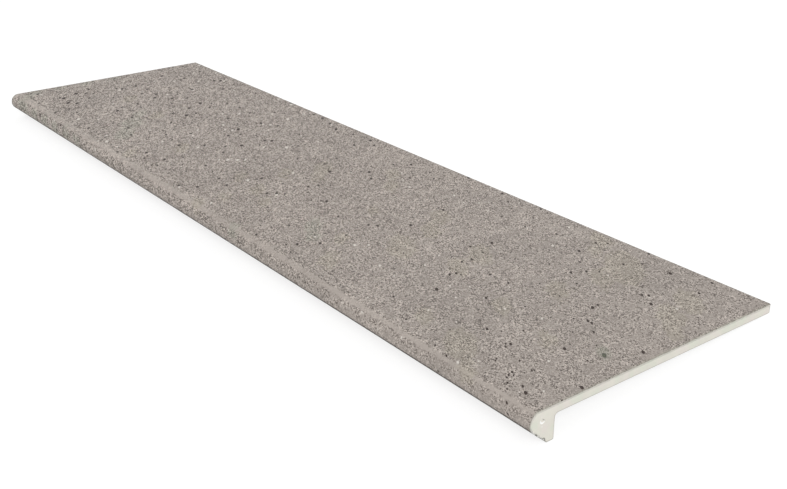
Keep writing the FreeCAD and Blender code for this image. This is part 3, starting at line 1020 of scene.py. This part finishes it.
def glaze_surface(t, place, nose, edge):
    """Colour, roughness and height of the stone-look glaze."""
    along = t.parts(place)[0]
    skin, slivers = glaze_frames(t, along, nose)
    size, reach = EDGE_STRAY
    stray = t.centred(t.noise(skin, size, flat=True), reach)
    band = nose_band_and_highlight(t, along, nose, stray)
    rim = glaze_rim(t, along, edge, stray)
    # Painted shade: a dark line where the nose turns under, fading out on the taper.
    under = t.times(t.ramp(nose, *SHADE_UNDER_NOSE), t.ramp(nose, *SHADE_UNDER_NOSE_FADE))

    fine = grain(t, skin, slivers, along)
    tone = glaze_tone(t, along, skin, nose, fine, band, rim, under)
    colour = grain_colour(t, tone, place, along, nose, skin, slivers, rim)
    colour = with_slivers(t, colour, along, nose, skin, slivers, band)
    for mark, soft, share, speck in GREEN_SPECK:
        inside = t.spots(slivers, sliver_places([mark]), soft)
        colour = t.mix(t.times(inside, share), colour, speck)
    # The painted shade under the nose is also mixed towards a dark colour.
    share, dark = SHADE_UNDER_NOSE_COLOUR
    colour = t.mix(t.times(under, share), colour, dark)
    rough = t.add(t.times(fine, GRAIN_ROUGHNESS), t.times(band, BAND_ROUGHNESS), GLAZE_ROUGHNESS)
    return colour, rough, t.times(fine, GRAIN_HEIGHT)


def with_marks(t, colour, place, kinds):
    """Lays marks at chosen places on a colour."""
    for marks, soft, share, mark in kinds:
        colour = t.mix(t.times(t.spots(place, marks, soft), share), colour, mark)
    return colour


def body_surface(t, place, edge):
    """Colour of the bare body, without its finest grain."""
    cream_size, cream_level, cream, white = CREAM
    tint_size, tint_from = TINT
    colour = t.mix(t.ramp(t.noise(place, cream_size), *cream_level), cream, white)
    tint = t.noise(t.vector("ADD", place, tint_from), tint_size)
    for level, body in (WARM_BODY, COOL_BODY):
        colour = t.mix(t.ramp(tint, *level), colour, body)
    lip = t.times(t.ramp(edge, *LIP_EDGE), t.ramp(t.parts(place)[2], *LIP_HEIGHT))
    share, pale = LIP_SHADE
    colour = t.mix(t.times(lip, share), colour, pale)
    return with_marks(t, colour, place, CHIP_MARKS)


def with_bed(t, colour, place):
    """Darkens the floors of the bed's keys with painted shade and dusts its ribs."""
    normal = t.nodes.new("ShaderNodeNewGeometry").outputs["Normal"]
    below = t.ramp(t.parts(normal)[2], *FACING_DOWN)
    height = t.parts(place)[2]
    # Painted shade: the recessed key floors are darkened.
    share, dark = KEY_FLOOR_PAINTED_SHADE
    colour = t.mix(t.times(below, t.ramp(height, *KEY_FLOOR), share), colour, dark)
    dusty = t.ramp(t.noise(place, *DUST), *DUST_LEVEL)
    return t.mix(t.times(below, t.ramp(height, *RIB), dusty), colour, DUST_SHADE)


def finish(t, colour, rough, height, relief):
    """The material of a surface, its relief in metres."""
    shader = t.nodes.new("ShaderNodeBsdfPrincipled")
    bump = t.nodes.new("ShaderNodeBump")
    bump.inputs["Strength"].default_value = 0.7
    bump.inputs["Distance"].default_value = relief
    t.put(bump.inputs["Height"], height)
    t.put(shader.inputs["Base Color"], colour)
    t.put(shader.inputs["Roughness"], rough)
    t.put(shader.inputs["Normal"], bump.outputs[0])
    out = t.nodes.new("ShaderNodeOutputMaterial")
    t.put(out.inputs[0], shader.outputs[0])
    return t.material


def glazed_material():
    """The glaze, and a border of the bare body beyond its wavering edge."""
    t = Tree("stone_look_glaze")
    place = t.attribute("level_mm", "Vector")
    edge = t.attribute("glaze_mm")
    nose = t.attribute("nose_mm")
    size, reach = GLAZE_WAVER
    waver = t.centred(t.noise(place, size), reach)
    covered = t.ramp(t.math("ADD", edge, waver), *GLAZE_SOFT)
    colour, rough, height = glaze_surface(t, place, nose, edge)
    colour = t.mix(covered, body_surface(t, place, edge), colour)
    return finish(t, colour, rough, height, GLAZE_RELIEF)


def bare_material():
    """The fired body, as its sawn ends, its back and its keyed bed show it."""
    t = Tree("bare_porcelain")
    place = t.attribute("level_mm", "Vector")
    colour = body_surface(t, place, t.attribute("glaze_mm"))
    speckle, _ = t.cells(place, SPECKLE)
    _, pores = t.flecks(place, *PORES)
    for inside, (share, dark) in ((speckle[0], SPECKLE_SHADE), (pores, PORE_SHADE)):
        colour = t.mix(t.times(inside, share), colour, dark)
    colour = with_bed(t, colour, place)

    # Painted highlight: a white crescent on the pit's lower lip.
    mouth = t.opposite(t.spots(place, PIT_MOUTH, PIT_HIGHLIGHT_SOFT))
    lip = t.times(t.spots(place, PIT_HIGHLIGHT, PIT_HIGHLIGHT_SOFT), mouth)
    # Painted light round the pit: a painted shadow streak in it and pale painted glows by it.
    colour = with_marks(t, colour, place, PIT_PAINTED_LIGHT)
    colour = t.mix(lip, colour, PIT_HIGHLIGHT_COLOUR)
    heights = zip((speckle[1], pores, t.noise(place, BODY_GRAIN)), BODY_HEIGHTS)
    height = t.add(*(t.times(value, reach) for value, reach in heights))
    return finish(t, colour, t.ramp(speckle[2], 0, 1, *BODY_ROUGHNESS), height, BODY_RELIEF)


# The studio, in metres and watts.
FLOOR_BOUNCE = 0.7
FLOOR_SHADED = 0.3
FLOOR_GLOW = 0.775
FLOOR_REACH = 30.0
DOME_LIGHT = 0.64
LAMP_AT = (7.0, -3.5, 5.8)
LAMP_SIZE = 4.5
LAMP_POWER = 460

# The camera in the level frame, solved from the vanishing points of the tile's straight edges.
CAMERA_AT = (1158.49, -916.8, 511.3)
CAMERA_HEADING = 142.190
CAMERA_PITCH = -23.965
CAMERA_ROLL = 0.0293
FOCAL_PIXELS = 1117.18
PICTURE_WIDTH = 787


def floor_material():
    """A pale floor that looks white where no shadow falls on it."""
    t = Tree("studio_floor")
    seen = t.nodes.new("ShaderNodeLightPath").outputs["Is Camera Ray"]
    shader = t.nodes.new("ShaderNodeBsdfDiffuse")
    t.put(shader.inputs["Color"], t.ramp(seen, 0, 1, FLOOR_BOUNCE, FLOOR_SHADED))
    white = t.nodes.new("ShaderNodeEmission")
    t.put(white.inputs["Strength"], t.times(seen, FLOOR_GLOW))
    both = t.nodes.new("ShaderNodeAddShader")
    t.put(both.inputs[0], shader.outputs[0])
    t.put(both.inputs[1], white.outputs[0])
    out = t.nodes.new("ShaderNodeOutputMaterial")
    t.put(out.inputs[0], both.outputs[0])
    return t.material


def add_floor():
    mesh = bpy.data.meshes.new("floor")
    corners = [(-1, -1), (1, -1), (1, 1), (-1, 1)]
    places = [(x * FLOOR_REACH, y * FLOOR_REACH, 0) for x, y in corners]
    mesh.from_pydata(places, [], [(0, 1, 2, 3)])
    mesh.materials.append(floor_material())
    floor = bpy.data.objects.new("floor", mesh)
    bpy.context.scene.collection.objects.link(floor)


def add_world():
    """An even white dome, which shows as plain white to the camera and in reflections."""
    world = bpy.data.worlds.new("studio")
    world.use_nodes = True
    nodes, links = world.node_tree.nodes, world.node_tree.links
    nodes.clear()
    path = nodes.new("ShaderNodeLightPath")
    seen = nodes.new("ShaderNodeMath")
    seen.operation = "MAXIMUM"
    links.new(path.outputs["Is Camera Ray"], seen.inputs[0])
    links.new(path.outputs["Is Glossy Ray"], seen.inputs[1])
    strength = nodes.new("ShaderNodeMapRange")
    strength.inputs["To Min"].default_value = DOME_LIGHT
    links.new(seen.outputs[0], strength.inputs["Value"])
    back = nodes.new("ShaderNodeBackground")
    back.inputs["Color"].default_value = (1, 1, 1, 1)
    links.new(strength.outputs[0], back.inputs["Strength"])
    out = nodes.new("ShaderNodeOutputWorld")
    links.new(back.outputs[0], out.inputs[0])
    bpy.context.scene.world = world


def add_lamp():
    """A large soft lamp, aimed at the middle of the tile."""
    lamp = bpy.data.lights.new("key", "AREA")
    lamp.shape = "SQUARE"
    lamp.size = LAMP_SIZE
    lamp.energy = LAMP_POWER
    holder = bpy.data.objects.new("key", lamp)
    holder.location = LAMP_AT
    holder.rotation_euler = (-Vector(LAMP_AT)).to_track_quat("-Z", "Y").to_euler()
    bpy.context.scene.collection.objects.link(holder)


def add_camera():
    data = bpy.data.cameras.new("camera")
    data.sensor_fit = "HORIZONTAL"
    data.lens = FOCAL_PIXELS / PICTURE_WIDTH * data.sensor_width
    data.clip_end = 2 * FLOOR_REACH
    heading, pitch = math.radians(CAMERA_HEADING), math.radians(CAMERA_PITCH)
    flat = math.cos(pitch)
    ahead = Vector((math.cos(heading) * flat, math.sin(heading) * flat, math.sin(pitch)))
    right = ahead.cross(Vector((0, 0, 1))).normalized()
    right = Matrix.Rotation(math.radians(-CAMERA_ROLL), 3, ahead) @ right
    turn = Matrix((right, right.cross(ahead), -ahead)).transposed()
    turn = Matrix.Rotation(-LEAN, 3, "X") @ turn
    camera = bpy.data.objects.new("camera", data)
    place = to_row(*(np.array(part) for part in CAMERA_AT))
    camera.matrix_world = Matrix.Translation(Vector(place.tolist())) @ turn.to_4x4()
    bpy.context.scene.collection.objects.link(camera)
    bpy.context.scene.camera = camera


tile = build_tile()
tile.data.materials.append(glazed_material())
tile.data.materials.append(bare_material())
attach(tile, "root")
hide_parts(NODE)

add_floor()
add_world()
add_lamp()
add_camera()
bpy.context.scene.view_settings.view_transform = "Standard"
